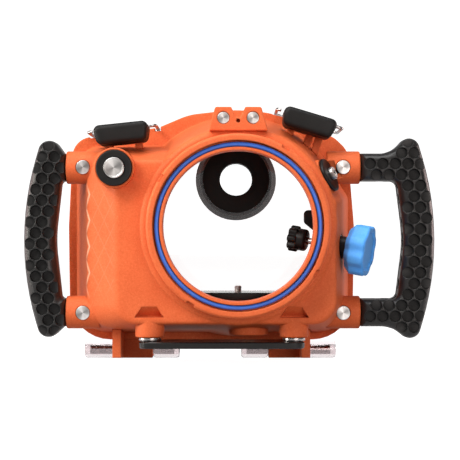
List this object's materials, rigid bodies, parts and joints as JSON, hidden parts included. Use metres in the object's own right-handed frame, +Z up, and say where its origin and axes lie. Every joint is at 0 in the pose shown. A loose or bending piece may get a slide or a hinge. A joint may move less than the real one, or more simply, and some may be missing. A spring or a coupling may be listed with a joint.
{
  "type": "underwater camera housing",
  "caption": "Moulded underwater housing for an interchangeable-lens camera, with a round lens port, clear hinged rear door, latches, side grips and a zoom control.",
  "frame": {"origin": "centre of the bounding box in plan, on the plane that the housing stands on", "axes": "+X to the right seen from the port side, +Y toward the rear door, +Z up"},
  "size_m": [0.3314, 0.1286, 0.2078],
  "materials": {
    "orange_shell": "moulded satin plastic with a fine speckle",
    "blue_seal": "smooth moulded rubber",
    "black_seal": "smooth moulded rubber",
    "eyecup_rubber": "matt rubber",
    "lever_rubber": "satin rubber cover",
    "grip_rubber": "matt rubber with honeycomb dimples",
    "clear_plastic": "polished clear plastic",
    "window_glass": "polished",
    "black_plastic": "satin",
    "blue_plastic": "satin moulded",
    "black_metal": "black anodised",
    "steel": "turned stainless steel",
    "brass": "turned"
  },
  "bodies": {
    "shell": {"body_shell": "orange_shell", "port_o_ring": "blue_seal", "door_gasket": "black_seal", "hinge_rod_left": "steel", "hinge_rod_right": "steel", "latch_pin_left": "steel", "latch_pin_right": "steel", "shutter_bezel": "black_plastic", "shutter_o_ring": "black_seal", "plug_washer": "black_plastic", "plug_body": "steel", "plug_nut": "black_plastic", "zoom_gland": "black_plastic", "gland_ring": "steel", "shaft_stay": "black_plastic", "handle_left": "grip_rubber", "handle_right": "grip_rubber", "handle_screw_upper_left": "steel", "handle_screw_upper_right": "steel", "handle_screw_lower_left": "steel", "handle_screw_lower_right": "steel", "bracket_screw_left": "steel", "bracket_screw_right": "steel", "foot_washer_left": "steel", "foot_washer_right": "steel", "base_plate": "black_metal", "base_screw_left": "steel", "base_screw_right": "steel", "tripod_insert": "brass", "tray_rail_left": "black_plastic", "tray_rail_right": "black_plastic"},
    "door": {"rear_door": "clear_plastic", "eyepiece_body": "black_plastic", "eyepiece_window": "window_glass", "eyecup": "eyecup_rubber"},
    "lever_left": {"latch_lever_left": "lever_rubber"},
    "lever_right": {"latch_lever_right": "lever_rubber"},
    "bail_left": {"latch_bail_left": "steel"},
    "bail_right": {"latch_bail_right": "steel"},
    "shutter": {"shutter_button": "steel", "shutter_spring": "steel", "shutter_clip": "steel"},
    "zoom_control": {"zoom_knob": "blue_plastic", "zoom_shaft": "steel", "zoom_wheel": "black_plastic", "zoom_clip": "steel"},
    "tray": {"tray_plate": "black_metal"},
    "camera_screw": {"tray_screw": "steel"}
  },
  "joints": [
    {"name": "door_hinge", "type": "hinge", "parent": "shell", "child": "door", "pos_m": [0, 0.0457, 0.007], "axis": [-1, 0, 0], "range_deg": [0, 110]},
    {"name": "lever_left_hinge", "type": "hinge", "parent": "shell", "child": "lever_left", "pos_m": [-0.0863, -0.0003, 0.183], "axis": [-0.9945, 0, -0.1045], "range_deg": [0, 80]},
    {"name": "lever_right_hinge", "type": "hinge", "parent": "shell", "child": "lever_right", "pos_m": [0.0633, -0.0003, 0.1915], "axis": [-0.9578, 0, 0.2874], "range_deg": [0, 80]},
    {"name": "bail_left_hinge", "type": "hinge", "parent": "lever_left", "child": "bail_left", "pos_m": [-0.08703, -0.0123, 0.18996], "axis": [0.9945, 0, 0.1045], "range_deg": [0, 96]},
    {"name": "bail_right_hinge", "type": "hinge", "parent": "lever_right", "child": "bail_right", "pos_m": [0.06531, -0.0123, 0.1982], "axis": [0.9578, 0, -0.2874], "range_deg": [0, 96]},
    {"name": "shutter_press", "type": "slide", "parent": "shell", "child": "shutter", "axis": [0, 1, 0], "range_m": [0, 0.003], "stiffness_N_per_m": 500},
    {"name": "zoom_turn", "type": "hinge", "parent": "shell", "child": "zoom_control", "pos_m": [0.0866, -0.0211, 0.0951], "axis": [0.9366, -0.309, -0.1651], "continuous": true},
    {"name": "tray_slide", "type": "slide", "parent": "shell", "child": "tray", "axis": [0, 1, 0], "range_m": [-0.008, 0]},
    {"name": "camera_screw_turn", "type": "hinge", "parent": "tray", "child": "camera_screw", "pos_m": [0.0071, -0.0043, 0.05], "axis": [0, 0, 1], "continuous": true}
  ],
  "couplings": [
    {"joint": "bail_left_hinge", "follows": "lever_left_hinge", "ratio": 1.2},
    {"joint": "bail_right_hinge", "follows": "lever_right_hinge", "ratio": 1.2}
  ]
}
